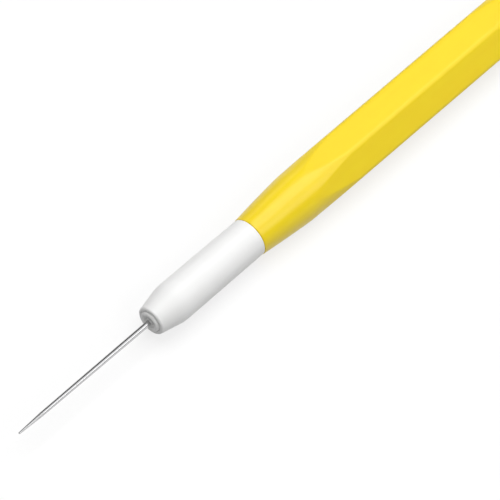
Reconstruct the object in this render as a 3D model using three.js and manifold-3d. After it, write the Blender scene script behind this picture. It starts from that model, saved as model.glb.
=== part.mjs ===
// Scriber needle tool for modelling and sugar craft.
// Four pieces: a steel needle, the white ferrule that holds it, a hexagonal handle and a rear plug.
// Millimetres. The tool lies along X with its needle towards -X and its lower flat on the plane z = 0.

import * as THREE from "three";
import { mergeVertices, toCreasedNormals } from "three/addons/utils/BufferGeometryUtils.js";
import Module from "manifold-3d";

// Handle: a bar with six flats and soft ridges. Each end is a round cone, a short neck and a long chamfer
// that runs out over the ridges.
const HANDLE_LENGTH = 96;
const ACROSS_FLATS = 11;
const CORNER_RADIUS = 1.15;
const CONE_LENGTH = 13.5; // from each end to the neck
const CONE_ARC_RADIUS = 350; // the cone bulges slightly
const NECK_LENGTH = 2;
const NECK_STEP = 0.01; // the neck's radius is this much less than the height of the flats over the axis
const CHAMFER_LENGTH = 10.2; // from the neck to the place where the ridges reach their full height
const HANDLE_END_ROUNDING = 0.15;
const END_STEP = 0.09; // the handle's end stands this far proud of the ferrule
const SOCKET_WALL = 1.3; // thinnest wall round a socket
const SOCKET_SPARE = 1; // room in a socket past the end of its spigot
const SOCKET_LEAD_IN = 0.35;
const BORE_STEP = 0.35; // the bore between the sockets is this much smaller in radius

// Needle: a drawn wire, slightly tapered, with a ground point and ring grooves on its hidden shank.
const NEEDLE_REACH = 36.55; // from the ferrule's nose to the tip
const NEEDLE_ROOT_DIAMETER = 1.2;
const NEEDLE_NECK_DIAMETER = 0.95; // where the ground point begins
const POINT_LENGTH = 6.5;
const TIP_RADIUS = 0.2;
const SHANK_LENGTH = 15;
const GROOVE_COUNT = 3;
const GROOVE_PITCH = 2.6;
const GROOVE_WIDTH = 1.1;
const GROOVE_DEPTH = 0.15;
const LAST_GROOVE_TO_END = 2; // from the middle of the last groove to the shank's end
const NEEDLE_FIT = 0.03; // between the shank and the plastic moulded round it

// Nose ferrule: a dish inside a round bead, a crease, a rounded rim, a cone, a barrel and a spigot.
const FERRULE_LENGTH = 28.55; // from the front of the bead to the shoulder
const FERRULE_DIAMETER = 8.66;
const FERRULE_SEAM_DIAMETER = 8.42;
const NOSE_CONE_LENGTH = 6; // from the bead's front to the sharp corner that the shoulder rounds off
const SHOULDER_ROUNDING = 9;
const RIM_DIAMETER = 6.36; // at the sharp corner that the rim's rounding takes off
const RIM_SETBACK = 0.3; // from the bead's front to the face of the rim
const RIM_ROUNDING = 0.72;
const CREASE_WIDTH = 0.2; // between the bead's side and the face of the rim
const CREASE_DEPTH = 0.05; // below the bead's widest ring
const BEAD_CIRCLE_DIAMETER = 3.7;
const BEAD_RADIUS = 0.45;
const BEAD_INNER_ANGLE = THREE.MathUtils.degToRad(60); // how far the bead turns in before the dish
const DISH_DEPTH = 0.75; // from the bead's front to the dish's floor
const DISH_NARROWING = 0.26; // in radius, from the bead to the dish's floor
const COUNTERSINK = 0.25; // round the needle, in the dish's floor
const FERRULE_WEB = 1.4; // solid plastic between the shank's end and the core

// Spigots of the ferrule and of the plug, both pushed into a socket of the handle.
const SPIGOT_LENGTH = 12;
const SPIGOT_CLEARANCE = 0.25; // round the spigot, taken up by its ribs
const SPIGOT_LEAD_IN = 0.6;
const SPIGOT_WALL = 1.1;
const RIB_COUNT = 6;
const RIB_RADIUS = 0.4;
const RIB_FIT = 0.03; // what is left between a rib's crest and the socket
const RIB_START = 1.2; // from the shoulder
const RIB_STOP = 1.8; // from the spigot's end
const SHOULDER_GAP = 0.05; // hairline joint between a shoulder and the handle's end

// Rear plug: a low dome on a short rim.
const PLUG_HEIGHT = 3.2;
const PLUG_RIM = 0.8;
const PLUG_FLOOR = 1.5; // solid plastic behind the shoulder plane

// Facets
const HANDLE_SIDES = 96;
const FITTING_SIDES = 48;
const NEEDLE_SIDES = 24;
const RIB_SIDES = 8;
const CROWN_STEPS = 8;
const ROUNDING_STEPS = 6;
const EDGE_STEPS = 3;
const OVERRUN = 2; // how far a cutting shape runs past what it cuts
const ROUNDED_SHARE = 0.9; // the most of a line that the rounding at its end may use up

const seamRadius = FERRULE_SEAM_DIAMETER / 2;
const handleEndRadius = seamRadius + END_STEP;
const socketRadius = handleEndRadius - SOCKET_WALL;
const socketDepth = SPIGOT_LENGTH + SOCKET_SPARE;
const boreRadius = socketRadius - BORE_STEP;
const spigotRadius = socketRadius - SPIGOT_CLEARANCE;
const spigotCoreRadius = spigotRadius - SPIGOT_WALL;
const apothem = ACROSS_FLATS / 2;
const cornerCentreRadius = (apothem - CORNER_RADIUS) / Math.cos(Math.PI / 6);
const cornerRidgeRadius = cornerCentreRadius + CORNER_RADIUS;

const wasm = await Module();
wasm.setup();

// A three.js geometry as a solid that can be cut and joined.
function toSolid(geometry) {
  const bare = geometry.clone();
  bare.deleteAttribute("normal");
  bare.deleteAttribute("uv");
  const welded = mergeVertices(bare, 1e-4);
  const mesh = new wasm.Mesh({
    numProp: 3,
    vertProperties: welded.attributes.position.array,
    triVerts: new Uint32Array(welded.index.array),
  });
  return new wasm.Manifold(mesh);
}

function toGeometry(solid) {
  const mesh = solid.getMesh();
  return new THREE.BufferGeometry()
    .setAttribute("position", new THREE.BufferAttribute(mesh.vertProperties, 3))
    .setIndex(new THREE.BufferAttribute(mesh.triVerts, 1));
}

// A point of a turned outline: its radius, and its station along the axis.
function at(radius, station) {
  return new THREE.Vector2(radius, station);
}

// Turns an outline about the X axis. The outline keeps the material on its left.
function turned(outline, sides) {
  return new THREE.LatheGeometry(outline, sides).rotateZ(-Math.PI / 2);
}

// An arc from one point to another that bulges away from the material.
function crown(from, to, radius, steps) {
  const half = to.clone().sub(from).multiplyScalar(0.5);
  const toCentre = new THREE.Vector2(-half.y, half.x);
  toCentre.setLength(Math.sqrt(Math.max(radius ** 2 - half.lengthSq(), 0)));
  const centre = from.clone().add(half).add(toCentre);
  const start = from.clone().sub(centre).angle();
  const sweep = 2 * Math.asin(Math.min(half.length() / radius, 1));
  return new THREE.EllipseCurve(centre.x, centre.y, radius, radius, start, start + sweep).getPoints(steps);
}

// The corner between two straight lines, rounded to a radius that the shorter line can carry.
function roundedCorner(before, corner, after, radius, steps) {
  const back = before.clone().sub(corner);
  const ahead = after.clone().sub(corner);
  const halfAngle = back.angleTo(ahead) / 2;
  const longest = Math.min(back.length(), ahead.length()) * ROUNDED_SHARE;
  const cut = Math.min(radius / Math.tan(halfAngle), longest);
  const from = corner.clone().add(back.setLength(cut));
  const to = corner.clone().add(ahead.setLength(cut));
  return crown(from, to, cut * Math.tan(halfAngle), steps);
}

// A hexagon with rounded corners, its flats facing up and down once it is laid along X.
function hexagon() {
  const outline = new THREE.Shape();
  for (let corner = 0; corner < 6; corner++) {
    const middle = ((corner + 0.5) * Math.PI) / 3;
    outline.absarc(
      cornerCentreRadius * Math.cos(middle),
      cornerCentreRadius * Math.sin(middle),
      CORNER_RADIUS,
      middle - Math.PI / 6,
      middle + Math.PI / 6,
    );
  }
  return outline;
}

// The front half of a turned outline, followed by its mirror image at the handle's rear.
function bothEnds(front) {
  const rear = front.map((point) => at(point.x, HANDLE_LENGTH - point.y));
  return [...front, ...rear.reverse()];
}

// Handle, from its front face at x = 0 to its rear face at x = HANDLE_LENGTH.
function handle() {
  const edgeStart = at(handleEndRadius - HANDLE_END_ROUNDING, 0);
  const edgeEnd = at(handleEndRadius, HANDLE_END_ROUNDING);
  const neck = at(apothem - NECK_STEP, CONE_LENGTH);
  const neckEnd = at(neck.x, neck.y + NECK_LENGTH);
  const ridge = at(cornerRidgeRadius, neckEnd.y + CHAMFER_LENGTH);
  const barrel = turned(
    bothEnds([
      at(0, 0),
      ...crown(edgeStart, edgeEnd, HANDLE_END_ROUNDING, EDGE_STEPS),
      ...crown(edgeEnd, neck, CONE_ARC_RADIUS, CROWN_STEPS).slice(1),
      neckEnd,
      ridge,
      at(ridge.x + OVERRUN, ridge.y + OVERRUN),
    ]),
    HANDLE_SIDES,
  );
  const bar = new THREE.ExtrudeGeometry(hexagon(), {
    depth: HANDLE_LENGTH + 2 * OVERRUN,
    bevelEnabled: false,
    curveSegments: ROUNDING_STEPS / 2,
  });
  bar.rotateY(Math.PI / 2).translate(-OVERRUN, 0, 0);
  const bore = turned(
    bothEnds([
      at(0, -OVERRUN),
      at(socketRadius + SOCKET_LEAD_IN, -OVERRUN),
      at(socketRadius + SOCKET_LEAD_IN, 0),
      at(socketRadius, SOCKET_LEAD_IN),
      at(socketRadius, socketDepth),
      at(boreRadius, socketDepth),
    ]),
    FITTING_SIDES,
  );
  return toGeometry(toSolid(barrel).intersect(toSolid(bar)).subtract(toSolid(bore)));
}

// Outline of the needle's shank and of the hole moulded round it, from the nose to the shank's end.
function shankOutline(clearance) {
  const radius = NEEDLE_ROOT_DIAMETER / 2 + clearance;
  const halfWidth = GROOVE_WIDTH / 2 - clearance;
  const outline = [];
  for (let groove = GROOVE_COUNT - 1; groove >= 0; groove--) {
    const middle = SHANK_LENGTH - LAST_GROOVE_TO_END - groove * GROOVE_PITCH;
    outline.push(
      at(radius, middle - halfWidth),
      at(radius - GROOVE_DEPTH, middle - halfWidth),
      at(radius - GROOVE_DEPTH, middle + halfWidth),
      at(radius, middle + halfWidth),
    );
  }
  outline.push(at(radius, SHANK_LENGTH + clearance), at(0, SHANK_LENGTH + clearance));
  return outline;
}

// Needle, with the ferrule's nose at x = 0.
function needle() {
  const neckRadius = NEEDLE_NECK_DIAMETER / 2;
  const slope = Math.atan2(neckRadius - TIP_RADIUS, POINT_LENGTH);
  const tipCentre = TIP_RADIUS - NEEDLE_REACH;
  const tip = new THREE.EllipseCurve(0, tipCentre, TIP_RADIUS, TIP_RADIUS, -Math.PI / 2, -slope);
  return turned(
    [
      ...tip.getPoints(ROUNDING_STEPS),
      at(neckRadius, POINT_LENGTH - NEEDLE_REACH),
      at(NEEDLE_ROOT_DIAMETER / 2, 0),
      ...shankOutline(0),
    ],
    NEEDLE_SIDES,
  );
}

// Outline of a cored spigot, from the shoulder at station 0 to the core's floor on the axis.
function spigotOutline(coreFloor) {
  return [
    at(spigotRadius, 0),
    at(spigotRadius, SPIGOT_LENGTH - SPIGOT_LEAD_IN),
    at(spigotRadius - SPIGOT_LEAD_IN / 2, SPIGOT_LENGTH),
    at(spigotCoreRadius, SPIGOT_LENGTH),
    at(spigotCoreRadius, coreFloor),
    at(0, coreFloor),
  ];
}

// A turned fitting with crush ribs round its spigot.
function ribbed(outline) {
  const crest = socketRadius - RIB_FIT;
  const length = SPIGOT_LENGTH - RIB_START - RIB_STOP;
  let fitting = toSolid(turned(outline, FITTING_SIDES));
  for (let rib = 0; rib < RIB_COUNT; rib++) {
    const bar = new THREE.CylinderGeometry(RIB_RADIUS, RIB_RADIUS, length, RIB_SIDES)
      .rotateZ(-Math.PI / 2)
      .translate(RIB_START + length / 2, 0, crest - RIB_RADIUS)
      .rotateX((rib * 2 * Math.PI) / RIB_COUNT);
    fitting = fitting.add(toSolid(bar));
  }
  return fitting;
}

// Nose ferrule, with its shoulder at x = 0 and its nose towards -X.
function noseFerrule() {
  const nose = -FERRULE_LENGTH;
  const beadCircleRadius = BEAD_CIRCLE_DIAMETER / 2;
  const dishEdge = at(
    beadCircleRadius - BEAD_RADIUS * Math.sin(BEAD_INNER_ANGLE),
    nose + BEAD_RADIUS * (1 - Math.cos(BEAD_INNER_ANGLE)),
  );
  const beadSide = at(beadCircleRadius + BEAD_RADIUS, nose + BEAD_RADIUS);
  const creaseEdge = at(beadSide.x + CREASE_WIDTH, nose + RIM_SETBACK);
  const rim = at(RIM_DIAMETER / 2, nose + RIM_SETBACK);
  const corner = at(FERRULE_DIAMETER / 2, nose + NOSE_CONE_LENGTH);
  const seam = at(seamRadius, 0);
  const body = ribbed([
    at(0, nose + DISH_DEPTH),
    at(dishEdge.x - DISH_NARROWING, nose + DISH_DEPTH),
    ...crown(dishEdge, beadSide, BEAD_RADIUS, ROUNDING_STEPS),
    at(beadSide.x, beadSide.y + CREASE_DEPTH),
    creaseEdge,
    ...roundedCorner(creaseEdge, rim, corner, RIM_ROUNDING, ROUNDING_STEPS),
    ...roundedCorner(rim, corner, seam, SHOULDER_ROUNDING, ROUNDING_STEPS),
    seam,
    ...spigotOutline(nose + SHANK_LENGTH + FERRULE_WEB),
  ]);
  const holeRadius = NEEDLE_ROOT_DIAMETER / 2 + NEEDLE_FIT;
  const hole = turned(
    [
      at(0, 0),
      at(holeRadius + COUNTERSINK, 0),
      at(holeRadius + COUNTERSINK, DISH_DEPTH),
      at(holeRadius, DISH_DEPTH + COUNTERSINK),
      ...shankOutline(NEEDLE_FIT),
    ],
    NEEDLE_SIDES,
  );
  return toGeometry(body.subtract(toSolid(hole.translate(nose, 0, 0))));
}

// Rear plug, with its shoulder at x = 0 and its dome towards -X.
function rearPlug() {
  const domeHeight = PLUG_HEIGHT - PLUG_RIM;
  const domeRadius = (domeHeight ** 2 + seamRadius ** 2) / (2 * domeHeight);
  const plug = ribbed([
    ...crown(at(0, -PLUG_HEIGHT), at(seamRadius, -PLUG_RIM), domeRadius, CROWN_STEPS),
    at(seamRadius, 0),
    ...spigotOutline(PLUG_FLOOR),
  ]);
  return toGeometry(plug);
}

const steel = new THREE.MeshStandardMaterial({ color: 0xc9cbcd, roughness: 0.25, metalness: 1 });
const whitePlastic = new THREE.MeshStandardMaterial({ color: 0xf3f3f1, roughness: 0.35, metalness: 0 });
const yellowPlastic = new THREE.MeshStandardMaterial({ color: 0xf8dd32, roughness: 0.3, metalness: 0 });

const CREASE_ANGLE = THREE.MathUtils.degToRad(20);

function piece(name, geometry, material) {
  const mesh = new THREE.Mesh(toCreasedNormals(geometry, CREASE_ANGLE), material);
  mesh.name = name;
  return mesh;
}

const handlePiece = piece("handle", handle(), yellowPlastic);
const ferrulePiece = piece("nose_ferrule", noseFerrule(), whitePlastic);
const needlePiece = piece("needle", needle(), steel);
const plugPiece = piece("rear_plug", rearPlug(), whitePlastic);

// The needle sits in the ferrule's nose, and both push into the handle's front socket together.
needlePiece.position.x = -FERRULE_LENGTH;
const noseEnd = new THREE.Group().add(ferrulePiece, needlePiece);
noseEnd.position.x = -SHOULDER_GAP;

// The plug is turned to face the rear.
plugPiece.rotation.z = Math.PI;
plugPiece.position.x = HANDLE_LENGTH + SHOULDER_GAP;

// The middle of the tool's length is over the origin, and its lower flat lies on z = 0.
const tool = new THREE.Group().add(handlePiece, noseEnd, plugPiece);
const tipStation = -SHOULDER_GAP - FERRULE_LENGTH - NEEDLE_REACH;
const rearStation = HANDLE_LENGTH + SHOULDER_GAP + PLUG_HEIGHT;
tool.position.x = -(tipStation + rearStation) / 2;
tool.position.z = apothem;

export default tool;
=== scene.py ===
# Scriber needle tool: a steel needle in a white ferrule on a yellow six-sided handle.
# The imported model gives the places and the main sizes. Every piece is made again with a finer surface, gets
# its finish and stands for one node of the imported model.

import math

import bmesh
import bpy
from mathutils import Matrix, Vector


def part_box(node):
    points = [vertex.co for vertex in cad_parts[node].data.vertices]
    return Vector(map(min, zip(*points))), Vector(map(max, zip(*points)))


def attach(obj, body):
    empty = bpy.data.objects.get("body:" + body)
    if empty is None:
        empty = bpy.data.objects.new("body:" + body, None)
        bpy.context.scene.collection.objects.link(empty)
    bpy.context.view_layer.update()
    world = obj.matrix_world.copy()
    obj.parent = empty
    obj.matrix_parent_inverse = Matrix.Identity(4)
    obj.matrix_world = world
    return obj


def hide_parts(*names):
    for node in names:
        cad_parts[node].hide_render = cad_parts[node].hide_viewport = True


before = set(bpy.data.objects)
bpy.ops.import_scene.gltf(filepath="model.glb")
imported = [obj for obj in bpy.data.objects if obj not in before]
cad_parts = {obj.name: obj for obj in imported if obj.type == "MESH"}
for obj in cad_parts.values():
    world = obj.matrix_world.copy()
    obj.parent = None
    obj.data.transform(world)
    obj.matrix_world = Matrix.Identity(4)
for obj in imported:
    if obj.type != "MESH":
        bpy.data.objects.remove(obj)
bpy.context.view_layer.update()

# The tool's outlines are written in millimetres, as pairs of a station along the tool and a radius.
MM = 0.001

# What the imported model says, in millimetres
handle_box = [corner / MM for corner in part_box("handle")]
ferrule_box = [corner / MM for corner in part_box("nose_ferrule")]
needle_box = [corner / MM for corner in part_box("needle")]
plug_box = [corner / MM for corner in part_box("rear_plug")]
FRONT_SEAM = handle_box[0].x
REAR_SEAM = handle_box[1].x
ACROSS_FLATS = handle_box[1].z - handle_box[0].z
ACROSS_RIDGES = handle_box[1].y - handle_box[0].y
AXIS_HEIGHT = (handle_box[0].z + handle_box[1].z) / 2
PACKED_NOSE = ferrule_box[0].x
FERRULE_DIAMETER = ferrule_box[1].z - ferrule_box[0].z
FERRULE_END = ferrule_box[1].x
TIP = needle_box[0].x
SHANK_END = needle_box[1].x
PLUG_TOP = plug_box[1].x
PLUG_END = plug_box[0].x

# Handle
HALF_FLAT = math.pi / 6  # half the angle that one flat takes up round the axis
CORNER_RADIUS = 1.15
CONE_LENGTH = 13.5  # from each end to the neck
CONE_ARC_RADIUS = 350
NECK_LENGTH = 2
NECK_STEP = 0.01  # the neck is this much smaller in radius than the flats are high
CHAMFER_LENGTH = 10.2  # from the neck to the place where the ridges reach their full height
END_RADIUS = 4.3
END_ROUNDING = 0.18
FLAT_SOFTNESS = 0.14  # how far the moulded edge round each flat is blended
BLANK_OVERSIZE = 0.5  # the turned blank stands this far outside the ridges before the flats are cut
SOCKET_RADIUS = 3
SOCKET_LEAD_IN = 0.35
SOCKET_DEPTH = 13
BORE_RADIUS = 2.65

# Ferrule
SEAM_RADIUS = 4.21
SHOULDER_GAP = 0.05  # between the handle's end and the shoulder of the ferrule or the plug
SHOULDER_EDGE = 0.1
NOSE_CONE_LENGTH = 6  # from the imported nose
NOSE_SHOULDER_ROUNDING = 9
FERRULE_CORE_FLOOR = 16.4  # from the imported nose
BEAD_FULLNESS = 0.34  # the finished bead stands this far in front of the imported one
NOSE = PACKED_NOSE - BEAD_FULLNESS
RIM_RADIUS = 3.1  # at the sharp corner that the rim's rounding takes off
RIM_SETBACK = 0.44  # from the bead's front to the face of the rim
RIM_ROUNDING = 0.53
CREASE_WIDTH = 0.2  # between the bead's side and the face of the rim
CREASE_DEPTH = 0.05  # below the bead's widest ring
BEAD_CIRCLE_RADIUS = 1.76
BEAD_RADIUS = 0.54
BEAD_INNER_ANGLE = math.radians(60)  # how far the bead turns in before the dish
DISH_DEPTH = 0.42
DISH_NARROWING = 0.05  # in radius, from the bead to the dish's floor
COLLAR_DEPTH = 0.04  # of the collar round the needle, below the front of the bead
COLLAR_WIDTH = 0.2
COLLAR_SLOPE = 0.11  # the collar is this much wider at its foot

# Spigots of the ferrule and the plug
SPIGOT_RADIUS = 2.75
SPIGOT_CORE_RADIUS = 1.65
SPIGOT_LEAD_IN = 0.6
RIB_COUNT = 6
RIB_RADIUS = 0.4
RIB_CREST = 2.97  # from the tool's axis
RIB_START = 1.2  # from the shoulder
RIB_STOP = 1.8  # from the spigot's end
RIB_END = 0.02  # run over which a rib rises to its full height

# Plug
PLUG_RIM = 0.8
PLUG_FLOOR = 1.5  # the floor of the plug's core lies this far inside the handle's end

# Needle
NEEDLE_RADIUS = 0.6
NECK_RADIUS = 0.475
POINT_LENGTH = 6.5
TIP_RADIUS = 0.2
NEEDLE_FIT = 0.03  # gap between the shank and the plastic moulded round it
GROOVE_COUNT = 3
GROOVE_PITCH = 2.6
GROOVE_WIDTH = 1.1
GROOVE_DEPTH = 0.15
LAST_GROOVE_TO_END = 2

# Fineness of the meshes
HANDLE_COLUMNS = 288
FITTING_COLUMNS = 192
NEEDLE_COLUMNS = 96
SWEEP_COLUMNS = 96
CONE_ROWS = 48
CHAMFER_ROWS = 48
BARREL_ROWS = 60
ARC_ROWS = 12
SHARP_EDGE = math.radians(32)

# Colours
YELLOW = (0.93, 0.705, 0.006, 1)
DEEPER_YELLOW = (0.92, 0.67, 0.005, 1)
WHITE = (0.90, 0.90, 0.895, 1)
CREAM_WHITE = (0.88, 0.88, 0.87, 1)
DARK_STEEL = (0.52, 0.52, 0.53, 1)
BRIGHT_STEEL = (0.66, 0.66, 0.66, 1)
PURE_WHITE = (1, 1, 1, 1)

# Grains of the finishes. Stretch is how many grains go in a millimetre along each axis.
FLOW = {"stretch": (0.04, 0.35, 0.35), "detail": 3.0}
MOTTLE = {"stretch": (0.25, 0.25, 0.25), "detail": 4.0}
LONG_HAIRLINES = {"stretch": (0.03, 3.0, 3.0)}
SLANTING_HAIRLINES = {"stretch": (0.05, 4.0, 4.0), "turn": (0, 0.3, 0.9)}
DRAWN_LINES = {"stretch": (0.08, 9.0, 9.0), "detail": 3.0}
GROUND_RINGS = {"stretch": (14.0, 0.6, 0.6)}
GRAIN_MIDDLE = 0.5  # grains lie evenly to both sides of this

# Moulded plastic. Peel is how many dimples of orange peel go in a millimetre.
HANDLE_SKIN = {"roughness": 0.45, "peel": 1.2, "rubbed": 0.32}
FITTING_SKIN = {"roughness": 0.36, "peel": 1.6}
LONG_HAIRLINE_RISE = (0.69, 0.74)  # of the grain, over which a hairline appears
SLANTING_HAIRLINE_RISE = (0.71, 0.76)
FLOW_SHARE = 0.6  # of the colour's pattern. Mottle makes the rest.
TINT_RISE = (0.3, 0.7)  # of the pattern, over which the deeper colour takes over
MOTTLE_ROUGHNESS = 0.08
HAIRLINE_ROUGHNESS = 0.12
DIMPLE_RELIEF = 0.6
MOTTLE_RELIEF = 0.3
HAIRLINE_RELIEF = 0.35
PLASTIC_RELIEF_DEPTH = 0.006

# Drawn steel
GROUND_EDGE = 0.4  # half the run over which the ground point turns into drawn wire
STEEL_ROUGHNESS = 0.16
LINE_ROUGHNESS = 0.08  # more along the bright lines
GROUND_ROUGHNESS = 0.18  # more on the ground point
STEEL_RELIEF_DEPTH = 0.002

# Camera and studio, in metres
CAMERA_AZIMUTH = math.radians(-47.8)
CAMERA_ELEVATION = math.radians(50.7)
CAMERA_DISTANCE = 1.0285
FOCAL_LENGTH = 379.4  # in millimetres
AIM_FROM_SEAM = Vector((-2.31, -2.27, 0.04)) * MM
LAMP_LENGTH = 1.0
LAMP_SHIFT = 0.2  # the lamps stand this far towards the tool's rear, so that its nose is in half shade
OVERHEAD = {"angle": math.radians(1), "distance": 0.7, "width": 0.62, "watts": 5.2}
NEAR = {"angle": math.radians(47), "distance": 0.8, "width": 0.36, "watts": 2.6}
FAR = {"angle": math.radians(-55), "distance": 0.8, "width": 0.24, "watts": 0.9}
OVER_NEEDLE = {"angle": math.radians(10), "distance": 0.7, "width": 0.6, "watts": 1.9}
ROOM_LIGHT = 0.13
SWEEP_RADIUS = 2.5  # of the flat floor
SWEEP_COVE = 0.2
SWEEP_HEIGHT = 0.5
FLOOR_DROP = 0.00002  # below the flat that the tool rests on
FLOOR_COLOUR = (0.4, 0.4, 0.4, 1)  # as it throws light back on the tool
FLOOR_GLOW = 0.75  # share of the seen floor's white that no shadow dims


# Node trees written as Python expressions

class Value:
    """A socket that gives numbers or a colour. Arithmetic on it adds Math nodes to its plan."""

    def __init__(self, plan, socket):
        self.plan = plan
        self.socket = socket

    def outlet(self, name):
        """Another outlet of the same node."""
        return Value(self.plan, self.socket.node.outputs[name])

    def math(self, operation, *operands):
        """What a Math node makes of this value and its other operands."""
        feeds = dict(enumerate((self, *operands)))
        return self.plan.node("ShaderNodeMath", {"operation": operation}, feeds)

    def __add__(self, other):
        return self.math("ADD", other)

    def __sub__(self, other):
        return self.math("SUBTRACT", other)

    def __mul__(self, other):
        return self.math("MULTIPLY", other)

    def __truediv__(self, other):
        return self.math("DIVIDE", other)

    def __rsub__(self, other):
        return self.plan.node("ShaderNodeMath", {"operation": "SUBTRACT"}, {0: other, 1: self})

    def __rtruediv__(self, other):
        return self.plan.node("ShaderNodeMath", {"operation": "DIVIDE"}, {0: other, 1: self})

    __radd__ = __add__
    __rmul__ = __mul__


class Plan:
    """A node tree that is being drawn up, for a finish or for a shape."""

    def __init__(self, tree):
        self.tree = tree
        tree.nodes.clear()

    def node(self, kind, settings=None, feeds=None, output=0):
        """Adds a node. Its settings come first, because they decide which sockets it has."""
        made = self.tree.nodes.new(kind)
        for name, value in (settings or {}).items():
            setattr(made, name, value)
        for key, value in (feeds or {}).items():
            if isinstance(value, Value):
                self.tree.links.new(value.socket, made.inputs[key])
            else:
                made.inputs[key].default_value = value
        return Value(self, made.outputs[output] if len(made.outputs) else None)

    def parts(self, vector):
        """The three numbers of a vector."""
        split = self.node("ShaderNodeSeparateXYZ", feeds={"Vector": vector})
        return [split.outlet(axis) for axis in "XYZ"]

    def ramp(self, value, low, high):
        """0 below low, 1 above high, and a smooth rise between them."""
        feeds = {"Value": value, "From Min": low, "From Max": high}
        return self.node("ShaderNodeMapRange", {"interpolation_type": "SMOOTHSTEP"}, feeds)

    def blend(self, share, first, second):
        """One colour turning into another as share goes from 0 to 1.

        The node's colour sockets share their names with others, so they are told by number.
        """
        return self.node("ShaderNodeMix", {"data_type": "RGBA"}, {0: share, 6: first, 7: second}, output=2)

    def layered(self, share, first, second):
        """One shader turning into another as share goes from 0 to 1."""
        return self.node("ShaderNodeMixShader", feeds={0: share, 1: first, 2: second})

    def grain(self, place, stretch, detail=2.0, turn=(0, 0, 0)):
        """Noise from 0 to 1."""
        scale = [count / MM for count in stretch]
        mapped = self.node("ShaderNodeMapping", feeds={"Vector": place, "Rotation": turn, "Scale": scale})
        return self.node("ShaderNodeTexNoise", feeds={"Vector": mapped, "Scale": 1.0, "Detail": detail})


# Finishes

def new_finish(name):
    """A material, its plan, and the place on the piece that its patterns follow."""
    material = bpy.data.materials.new(name)
    material.use_nodes = True
    plan = Plan(material.node_tree)
    place = plan.node("ShaderNodeTexCoord", output="Object")
    return material, plan, place


def surface(plan, colour, roughness, relief, relief_depth, metallic):
    """Ends a finish with its shader. Relief is a height from 0 to 1, and its depth is in millimetres."""
    feeds = {"Strength": 1.0, "Distance": relief_depth * MM, "Height": relief}
    bump = plan.node("ShaderNodeBump", feeds=feeds)
    feeds = {"Base Color": colour, "Roughness": roughness, "Metallic": metallic, "Normal": bump}
    shader = plan.node("ShaderNodeBsdfPrincipled", feeds=feeds)
    plan.node("ShaderNodeOutputMaterial", feeds={"Surface": shader})


def scratches(plan, place):
    """Sparse hairlines from handling, mostly along the tool, some across it."""
    along = plan.ramp(plan.grain(place, **LONG_HAIRLINES), *LONG_HAIRLINE_RISE)
    slanting = plan.ramp(plan.grain(place, **SLANTING_HAIRLINES), *SLANTING_HAIRLINE_RISE)
    return along.math("MAXIMUM", slanting)


def moulded_plastic(name, colour, deeper, roughness, peel, rubbed=None):
    """Smooth moulded plastic: faint flow of colour, a soft sheen, orange peel and hairline scratches.

    Rubbed is the lower roughness of both ends of the handle, which fingers polish.
    """
    material, plan, place = new_finish(name)
    flow = plan.grain(place, **FLOW)
    mottle = plan.grain(place, **MOTTLE)
    dimples = plan.grain(place, (peel, peel, peel), detail=1.0)
    hairlines = scratches(plan, place)
    pattern = flow * FLOW_SHARE + mottle * (1 - FLOW_SHARE)
    tint = plan.blend(plan.ramp(pattern, *TINT_RISE), colour, deeper)
    dullness = roughness + (mottle - GRAIN_MIDDLE) * MOTTLE_ROUGHNESS + hairlines * HAIRLINE_ROUGHNESS
    if rubbed is not None:
        from_middle = (plan.parts(place)[0] - (FRONT_SEAM + REAR_SEAM) / 2 * MM).math("ABSOLUTE")
        taper_start = (REAR_SEAM - FRONT_SEAM) / 2 - CONE_LENGTH - NECK_LENGTH
        worn = plan.ramp(from_middle, (taper_start - CHAMFER_LENGTH) * MM, taper_start * MM)
        dullness = dullness + worn * (rubbed - roughness)
    relief = dimples * DIMPLE_RELIEF + mottle * MOTTLE_RELIEF - hairlines * HAIRLINE_RELIEF
    surface(plan, tint, dullness, relief, PLASTIC_RELIEF_DEPTH, metallic=0.0)
    return material


def drawn_steel():
    """Bright steel wire: fine lines along it from the die, and finer rings on the duller ground point."""
    material, plan, place = new_finish("drawn_steel")
    station = plan.parts(place)[0]
    wire = plan.grain(place, **DRAWN_LINES)
    rings = plan.grain(place, **GROUND_RINGS)
    neck = TIP + POINT_LENGTH
    ground = 1 - plan.ramp(station, (neck - GROUND_EDGE) * MM, (neck + GROUND_EDGE) * MM)
    lines = wire + (rings - wire) * ground
    tint = plan.blend(lines, DARK_STEEL, BRIGHT_STEEL)
    roughness = STEEL_ROUGHNESS + lines * LINE_ROUGHNESS + ground * GROUND_ROUGHNESS
    surface(plan, tint, roughness, lines, STEEL_RELIEF_DEPTH, metallic=1.0)
    return material


# Shapes made by node trees

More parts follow.
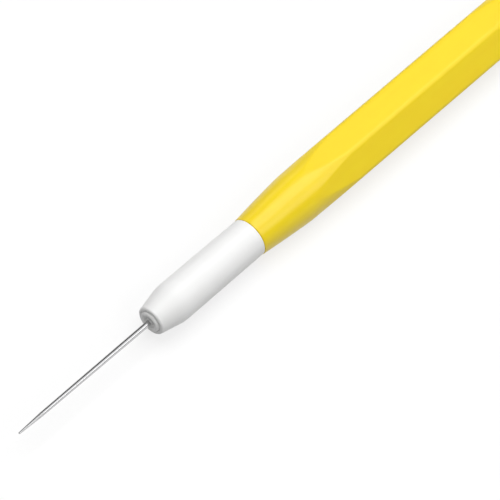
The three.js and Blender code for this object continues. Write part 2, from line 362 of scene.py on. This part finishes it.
class ShapePlan(Plan):
    """A node tree that reshapes a turned piece about the tool's axis."""

    def __init__(self, name):
        super().__init__(bpy.data.node_groups.new(name, "GeometryNodeTree"))
        self.tree.interface.new_socket("Shape", in_out="INPUT", socket_type="NodeSocketGeometry")
        self.tree.interface.new_socket("Shape", in_out="OUTPUT", socket_type="NodeSocketGeometry")
        self.entry = self.tree.nodes.new("NodeGroupInput")

    def size(self, name):
        """A named size of the tree."""
        self.tree.interface.new_socket(name, in_out="INPUT", socket_type="NodeSocketFloat")
        return Value(self, self.entry.outputs[name])

    def around_axis(self, axis_height):
        """Each point's station, its sideways and upward distance from the axis, its radius and its angle.

        The angle is measured from the top.
        """
        station, sideways, height = self.parts(self.node("GeometryNodeInputPosition"))
        upward = height - axis_height
        radius = (sideways * sideways + upward * upward).math("SQRT")
        angle = sideways.math("ARCTAN2", upward)
        return station, sideways, upward, radius, angle

    def finish(self, station, sideways, upward, growth, axis_height, material):
        """Moves each point to growth times its radius and hands the shape over."""
        feeds = {"X": station, "Y": sideways * growth, "Z": upward * growth + axis_height}
        place = self.node("ShaderNodeCombineXYZ", feeds=feeds)
        shape = Value(self, self.entry.outputs["Shape"])
        shape = self.node("GeometryNodeSetPosition", feeds={"Geometry": shape, "Position": place})
        shape = self.node("GeometryNodeRealizeInstances", feeds={"Geometry": shape})
        shape = self.node("GeometryNodeSetMaterial", feeds={"Geometry": shape, "Material": material})
        self.node("NodeGroupOutput", feeds={"Shape": shape})
        return self.tree


def bulge(centre_radius, round_radius, offset):
    """Distance from the axis to a round bar beside it, at an angle offset from the bar's middle."""
    across = offset.math("SINE") * centre_radius
    reach = (round_radius * round_radius - across * across).math("MAXIMUM", 0.0).math("SQRT")
    return offset.math("COSINE") * centre_radius + reach


def six_flats(material):
    """Cuts six flats with rounded ridges on a turned blank, where it is thicker than they are."""
    plan = ShapePlan("six_flats")
    across_flats = plan.size("Across Flats")
    corner_radius = plan.size("Corner Radius")
    softness = plan.size("Edge Softness")
    axis_height = plan.size("Axis Height")
    station, sideways, upward, radius, angle = plan.around_axis(axis_height)
    apothem = across_flats / 2
    corner_centre = (apothem - corner_radius) / math.cos(HALF_FLAT)
    from_flat = angle.math("PINGPONG", HALF_FLAT)
    flat = apothem / from_flat.math("COSINE")
    ridge = bulge(corner_centre, corner_radius, HALF_FLAT - from_flat)
    ridge_starts = (corner_centre * math.sin(HALF_FLAT)).math("ARCTAN2", apothem)
    hexagon = flat + (ridge - flat) * from_flat.math("GREATER_THAN", ridge_starts)
    cut = radius.math("SMOOTH_MIN", hexagon, softness)
    return plan.finish(station, sideways, upward, cut / radius, axis_height, material)


def crush_ribs(material):
    """Raises round ribs along the outside of a turned spigot."""
    plan = ShapePlan("crush_ribs")
    count = plan.size("Rib Count")
    crest = plan.size("Crest Radius")
    rib_radius = plan.size("Rib Radius")
    first = plan.size("First Station")
    last = plan.size("Last Station")
    least = plan.size("Least Radius")
    axis_height = plan.size("Axis Height")
    station, sideways, upward, radius, angle = plan.around_axis(axis_height)
    half_pitch = math.pi / count
    from_rib = half_pitch - angle.math("PINGPONG", half_pitch)
    rib = bulge(crest - rib_radius, rib_radius, from_rib)
    in_run = station.math("GREATER_THAN", first) * station.math("LESS_THAN", last)
    beside = (from_rib.math("SINE") * crest).math("LESS_THAN", rib_radius)
    where = in_run * beside * radius.math("GREATER_THAN", least)
    raised = radius + (radius.math("MAXIMUM", rib) - radius) * where
    return plan.finish(station, sideways, upward, raised / radius, axis_height, material)


def shaped(piece, tree, sizes):
    """Runs a shape tree on a piece and keeps the result as its mesh."""
    modifier = piece.modifiers.new(tree.name, "NODES")
    modifier.node_group = tree
    for item in tree.interface.items_tree:
        if item.in_out == "INPUT" and item.name in sizes:
            modifier[item.identifier] = sizes[item.name]
    depsgraph = bpy.context.evaluated_depsgraph_get()
    mesh = bpy.data.meshes.new_from_object(piece.evaluated_get(depsgraph))
    piece.modifiers.remove(modifier)
    piece.data = mesh
    return piece


# Turned outlines

def arc(centre, radius, start, end, rows):
    """Points on a circle about centre, from one angle to another. Angle 0 points to the tool's rear."""
    angles = [start + (end - start) * row / rows for row in range(rows + 1)]
    return [(centre[0] + radius * math.cos(a), centre[1] + radius * math.sin(a)) for a in angles]


def crown(first, last, radius, rows):
    """A shallow arc from one point to another that bulges away from the axis."""
    first, last = Vector(first), Vector(last)
    half = (last - first) / 2
    inward = Vector((half.y, -half.x)).normalized()
    centre = first + half + inward * math.sqrt(radius**2 - half.length_squared)
    start = math.atan2(first.y - centre.y, first.x - centre.x)
    end = math.atan2(last.y - centre.y, last.x - centre.x)
    return arc(centre, radius, start, end, rows)


def rounded_corner(before, corner, after, radius):
    """The corner between two straight lines, rounded."""
    before, corner, after = Vector(before), Vector(corner), Vector(after)
    back, ahead = (before - corner).normalized(), (after - corner).normalized()
    cut = radius / math.tan(back.angle(ahead) / 2)
    return crown(corner + back * cut, corner + ahead * cut, radius, ARC_ROWS)


def straight(first, last, rows):
    """Points on a line, both ends included."""
    return [tuple(Vector(first).lerp(Vector(last), row / rows)) for row in range(rows + 1)]


def around(radius, columns):
    """The angles of a ring's points. A ring of no radius is one point on the axis."""
    return [2 * math.pi * column / columns for column in range(columns if radius else 1)]


def skin(mesh, rings):
    """Joins each ring of points to the next with faces."""
    for ring, following in zip(rings, rings[1:]):
        columns = max(len(ring), len(following))
        for column in range(columns):
            onward = (column + 1) % columns
            corners = [ring[column % len(ring)], following[column % len(following)]]
            corners += [following[onward % len(following)], ring[onward % len(ring)]]
            mesh.faces.new(list(dict.fromkeys(corners)))


def linked(name, mesh):
    """Hands a mesh that is drawn up to the scene, as an object at the origin."""
    data = bpy.data.meshes.new(name)
    mesh.to_mesh(data)
    mesh.free()
    made = bpy.data.objects.new(name, data)
    bpy.context.scene.collection.objects.link(made)
    return made


def turned(name, outline, columns, through=False):
    """Turns an outline about the tool's axis. It ends on the axis or, round a bore, closes on itself."""
    mesh = bmesh.new()
    rings = []
    for station, radius in outline:
        angles = around(radius, columns)
        places = [(station, radius * math.sin(a), AXIS_HEIGHT + radius * math.cos(a)) for a in angles]
        rings.append([mesh.verts.new(Vector(place) * MM) for place in places])
    if through:
        rings.append(rings[0])
    skin(mesh, rings)
    bmesh.ops.recalc_face_normals(mesh, faces=mesh.faces)
    return linked(name, mesh)


def finished(piece, node, material=None):
    """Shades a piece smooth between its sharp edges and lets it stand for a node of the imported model."""
    if material:
        piece.data.materials.append(material)
    piece.data.shade_smooth()
    piece.data.set_sharp_from_angle(angle=SHARP_EDGE)
    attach(piece, "root")
    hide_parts(node)
    return piece


# Pieces

def handle(plastic):
    """Six-sided handle whose ends are drawn down to a round, with a socket in each end."""
    ridge_radius = ACROSS_RIDGES / 2
    face_radius = END_RADIUS - END_ROUNDING
    edge = arc((END_ROUNDING, face_radius), END_ROUNDING, math.pi, math.pi / 2, ARC_ROWS // 2)
    neck = (CONE_LENGTH, ACROSS_FLATS / 2 - NECK_STEP)
    neck_end = (neck[0] + NECK_LENGTH, neck[1])
    cone = crown((END_ROUNDING, END_RADIUS), neck, CONE_ARC_RADIUS, CONE_ROWS)
    chamfer_end = neck_end[0] + CHAMFER_LENGTH
    chamfer = straight(neck_end, (chamfer_end, ridge_radius), CHAMFER_ROWS)
    lead_in = (SOCKET_LEAD_IN, SOCKET_RADIUS)
    mouth = (0, SOCKET_RADIUS + SOCKET_LEAD_IN)
    outside = edge + cone[1:] + chamfer
    inside = [(SOCKET_DEPTH, BORE_RADIUS), (SOCKET_DEPTH, SOCKET_RADIUS), lead_in, mouth]
    length = REAR_SEAM - FRONT_SEAM
    blank_radius = ridge_radius + BLANK_OVERSIZE
    barrel_start = chamfer_end + BLANK_OVERSIZE
    barrel = straight((barrel_start, blank_radius), (length - barrel_start, blank_radius), BARREL_ROWS)
    mirrored = [(length - station, radius) for station, radius in reversed(inside + outside)]
    outline = inside + outside + barrel + mirrored
    outline = [(FRONT_SEAM + station, radius) for station, radius in outline]
    blank = turned("handle_grip", outline, HANDLE_COLUMNS, through=True)
    sizes = {
        "Across Flats": ACROSS_FLATS * MM,
        "Corner Radius": CORNER_RADIUS * MM,
        "Edge Softness": FLAT_SOFTNESS * MM,
        "Axis Height": AXIS_HEIGHT * MM,
    }
    grip = shaped(blank, six_flats(plastic), sizes)
    finished(grip, "handle")


def shank(clearance):
    """The needle's hidden shank with its ring grooves, or the hole moulded round it, from front to rear."""
    radius = NEEDLE_RADIUS + clearance
    half_width = GROOVE_WIDTH / 2 - clearance
    outline = []
    for groove in reversed(range(GROOVE_COUNT)):
        middle = SHANK_END - LAST_GROOVE_TO_END - groove * GROOVE_PITCH
        outline += [
            (middle - half_width, radius),
            (middle - half_width, radius - GROOVE_DEPTH),
            (middle + half_width, radius - GROOVE_DEPTH),
            (middle + half_width, radius),
        ]
    return outline + [(SHANK_END + clearance, radius), (SHANK_END + clearance, 0)]


def needle(steel):
    """Drawn wire that tapers slightly to a ground point, with a rounded tip."""
    slope = math.atan2(NECK_RADIUS - TIP_RADIUS, POINT_LENGTH)
    tip = arc((TIP + TIP_RADIUS, 0), TIP_RADIUS, math.pi, math.pi / 2 + slope, ARC_ROWS)
    neck = (TIP + POINT_LENGTH, NECK_RADIUS)
    point = straight(tip[-1], neck, ARC_ROWS)
    wire = straight(neck, (PACKED_NOSE, NEEDLE_RADIUS), ARC_ROWS)
    outline = [(TIP, 0)] + tip[1:] + point[1:] + wire[1:] + shank(0)
    return finished(turned("needle_wire", outline, NEEDLE_COLUMNS), "needle", steel)


def spigot(shoulder, end, core_floor, away):
    """A cored spigot, from its shoulder to the floor of its core.

    Away is 1 if the spigot points to the rear and -1 if it points to the nose.
    """
    run_start = shoulder + away * RIB_START
    run_stop = end - away * RIB_STOP
    rise = away * RIB_END
    stations = [shoulder, run_start - rise, run_start, run_stop, run_stop + rise]
    outline = [(station, SPIGOT_RADIUS) for station in stations]
    return outline + [
        (end - away * SPIGOT_LEAD_IN, SPIGOT_RADIUS),
        (end, SPIGOT_RADIUS - SPIGOT_LEAD_IN / 2),
        (end, SPIGOT_CORE_RADIUS),
        (core_floor, SPIGOT_CORE_RADIUS),
        (core_floor, 0),
    ]


def ribbed(piece, tree, shoulder, end):
    """Raises the crush ribs on a turned fitting's spigot."""
    away = math.copysign(1, end - shoulder)
    stations = sorted((shoulder + away * (RIB_START - RIB_END / 2), end - away * (RIB_STOP - RIB_END / 2)))
    sizes = {
        "Rib Count": float(RIB_COUNT),
        "Crest Radius": RIB_CREST * MM,
        "Rib Radius": RIB_RADIUS * MM,
        "First Station": stations[0] * MM,
        "Last Station": stations[1] * MM,
        "Least Radius": (SPIGOT_RADIUS + SPIGOT_CORE_RADIUS) / 2 * MM,
        "Axis Height": AXIS_HEIGHT * MM,
    }
    return shaped(piece, tree, sizes)


def ferrule(ribs):
    """White ferrule: a collar and a dish inside a rounded bead, a cone, a barrel and a spigot."""
    shoulder = FRONT_SEAM - SHOULDER_GAP
    bead_centre = (NOSE + BEAD_RADIUS, BEAD_CIRCLE_RADIUS)
    bead = arc(bead_centre, BEAD_RADIUS, math.pi + BEAD_INNER_ANGLE, math.pi / 2, 2 * ARC_ROWS)
    bead_side = BEAD_CIRCLE_RADIUS + BEAD_RADIUS
    crease = [
        (NOSE + BEAD_RADIUS + CREASE_DEPTH, bead_side),
        (NOSE + RIM_SETBACK, bead_side + CREASE_WIDTH),
    ]
    rim_corner = (NOSE + RIM_SETBACK, RIM_RADIUS)
    corner = (PACKED_NOSE + NOSE_CONE_LENGTH, FERRULE_DIAMETER / 2)
    seam = (shoulder, SEAM_RADIUS)
    hole = list(reversed(shank(NEEDLE_FIT)))
    hole_radius = NEEDLE_RADIUS + NEEDLE_FIT
    collar_radius = hole_radius + COLLAR_WIDTH
    dish = [
        (NOSE + COLLAR_DEPTH, hole_radius),
        (NOSE + COLLAR_DEPTH, collar_radius),
        (NOSE + DISH_DEPTH, collar_radius + COLLAR_SLOPE),
        (NOSE + DISH_DEPTH, bead[0][1] - DISH_NARROWING),
    ]
    rim = rounded_corner(crease[-1], rim_corner, corner, RIM_ROUNDING)
    shoulder_turn = rounded_corner(rim_corner, corner, seam, NOSE_SHOULDER_ROUNDING)
    barrel = straight(shoulder_turn[-1], (shoulder - SHOULDER_EDGE, SEAM_RADIUS), ARC_ROWS)
    edge_centre = (shoulder - SHOULDER_EDGE, SEAM_RADIUS - SHOULDER_EDGE)
    edge = arc(edge_centre, SHOULDER_EDGE, math.pi / 2, 0, ARC_ROWS // 2)
    peg = spigot(shoulder, FERRULE_END, PACKED_NOSE + FERRULE_CORE_FLOOR, 1)
    outline = hole + dish + bead + crease + rim + shoulder_turn + barrel[1:] + edge[1:] + peg
    piece = turned("ferrule_nose", outline, FITTING_COLUMNS)
    finished(ribbed(piece, ribs, shoulder, FERRULE_END), "nose_ferrule")


def plug(ribs):
    """White plug that closes the handle's rear: a low dome on a short rim, and a spigot."""
    shoulder = REAR_SEAM + SHOULDER_GAP
    rim = shoulder + PLUG_RIM
    height = PLUG_TOP - rim
    dome_radius = (height**2 + SEAM_RADIUS**2) / (2 * height)
    half_angle = math.asin(SEAM_RADIUS / dome_radius)
    dome = arc((PLUG_TOP - dome_radius, 0), dome_radius, 0, half_angle, 2 * ARC_ROWS)
    edge_centre = (shoulder + SHOULDER_EDGE, SEAM_RADIUS - SHOULDER_EDGE)
    edge = arc(edge_centre, SHOULDER_EDGE, math.pi / 2, math.pi, ARC_ROWS // 2)
    peg = spigot(shoulder, PLUG_END, REAR_SEAM - PLUG_FLOOR, -1)
    piece = turned("plug_dome", [(PLUG_TOP, 0)] + dome[1:] + edge + peg, FITTING_COLUMNS)
    finished(ribbed(piece, ribs, shoulder, PLUG_END), "rear_plug")


# Studio

def floor_finish():
    """Pale floor: white to the eye and in reflections, with the tool's shadow, and clear from below."""
    material = bpy.data.materials.new("studio_floor")
    material.use_nodes = True
    plan = Plan(material.node_tree)
    ray = plan.node("ShaderNodeLightPath")
    seen = ray.outlet("Is Camera Ray")
    for kind in ("Is Glossy Ray", "Is Transmission Ray"):
        seen = seen.math("MAXIMUM", ray.outlet(kind))
    matt = plan.node("ShaderNodeBsdfDiffuse", feeds={"Color": FLOOR_COLOUR})
    white = plan.node("ShaderNodeBsdfDiffuse", feeds={"Color": PURE_WHITE})
    glow = plan.node("ShaderNodeEmission", feeds={"Color": PURE_WHITE, "Strength": 1.0})
    above = plan.layered(seen, matt, plan.layered(FLOOR_GLOW, white, glow))
    clear = plan.node("ShaderNodeBsdfTransparent")
    from_below = plan.node("ShaderNodeNewGeometry", output="Backfacing") * ray.outlet("Is Camera Ray")
    both = plan.layered(from_below, above, clear)
    plan.node("ShaderNodeOutputMaterial", feeds={"Surface": both})
    return material


def sweep():
    """A round floor that curves up into a low wall."""
    cove = arc((0, SWEEP_COVE), SWEEP_COVE, -math.pi / 2, 0, ARC_ROWS)
    outline = [(0, 0)] + [(SWEEP_RADIUS + reach, height) for reach, height in cove]
    outline.append((SWEEP_RADIUS + SWEEP_COVE, SWEEP_HEIGHT))
    mesh = bmesh.new()
    rings = []
    for radius, height in outline:
        angles = around(radius, SWEEP_COLUMNS)
        places = [(radius * math.cos(a), radius * math.sin(a), height - FLOOR_DROP) for a in angles]
        rings.append([mesh.verts.new(place) for place in places])
    skin(mesh, rings)
    backdrop = linked("sweep", mesh)
    backdrop.data.shade_smooth()
    backdrop.data.materials.append(floor_finish())


def softbox(name, angle, distance, width, watts):
    """A long lamp that lies along the tool, at an angle from straight above towards the camera's side."""
    lamp = bpy.data.lights.new(name, "AREA")
    lamp.shape = "RECTANGLE"
    lamp.size = LAMP_LENGTH
    lamp.size_y = width
    lamp.energy = watts
    box = bpy.data.objects.new(name, lamp)
    box.location = (LAMP_SHIFT, -distance * math.sin(angle), distance * math.cos(angle))
    box.rotation_euler = (angle, 0, 0)
    box.visible_camera = False
    bpy.context.scene.collection.objects.link(box)
    return box


def flagged(box, wire, wire_link):
    """Puts flags round a lamp that keep it off the needle's wire, or off everything but the wire."""
    flags = bpy.data.collections.new(box.name + "_flags")
    flags.objects.link(wire)
    flags.collection_objects[0].light_linking.link_state = wire_link
    box.light_linking.receiver_collection = flags


def lamps(wire):
    """Four softboxes. The last is for the needle's wire alone, which two of the others leave out."""
    softbox("near_softbox", **NEAR)
    flagged(softbox("overhead_softbox", **OVERHEAD), wire, "EXCLUDE")
    flagged(softbox("far_softbox", **FAR), wire, "EXCLUDE")
    flagged(softbox("needle_softbox", **OVER_NEEDLE), wire, "INCLUDE")


def room():
    """Dim even light from all sides."""
    world = bpy.data.worlds.new("room")
    world.use_nodes = True
    background = world.node_tree.nodes["Background"]
    background.inputs["Color"].default_value = PURE_WHITE
    background.inputs["Strength"].default_value = ROOM_LIGHT
    bpy.context.scene.world = world


def camera():
    """A long lens at the photograph's angle."""
    lens = bpy.data.cameras.new("camera")
    lens.lens = FOCAL_LENGTH
    back = Vector((
        math.sin(CAMERA_AZIMUTH) * math.cos(CAMERA_ELEVATION),
        -math.cos(CAMERA_AZIMUTH) * math.cos(CAMERA_ELEVATION),
        math.sin(CAMERA_ELEVATION),
    ))
    aim = Vector((FRONT_SEAM, 0, AXIS_HEIGHT)) * MM + AIM_FROM_SEAM
    eye = bpy.data.objects.new("camera", lens)
    eye.location = aim + back * CAMERA_DISTANCE
    eye.rotation_mode = "QUATERNION"
    eye.rotation_quaternion = (-back).to_track_quat("-Z", "Y")
    bpy.context.scene.collection.objects.link(eye)
    bpy.context.scene.camera = eye


yellow_plastic = moulded_plastic("yellow_plastic", YELLOW, DEEPER_YELLOW, **HANDLE_SKIN)
white_plastic = moulded_plastic("white_plastic", WHITE, CREAM_WHITE, **FITTING_SKIN)
ribs = crush_ribs(white_plastic)
handle(yellow_plastic)
wire = needle(drawn_steel())
ferrule(ribs)
plug(ribs)
sweep()
lamps(wire)
room()
camera()
bpy.context.scene.view_settings.view_transform = "Standard"
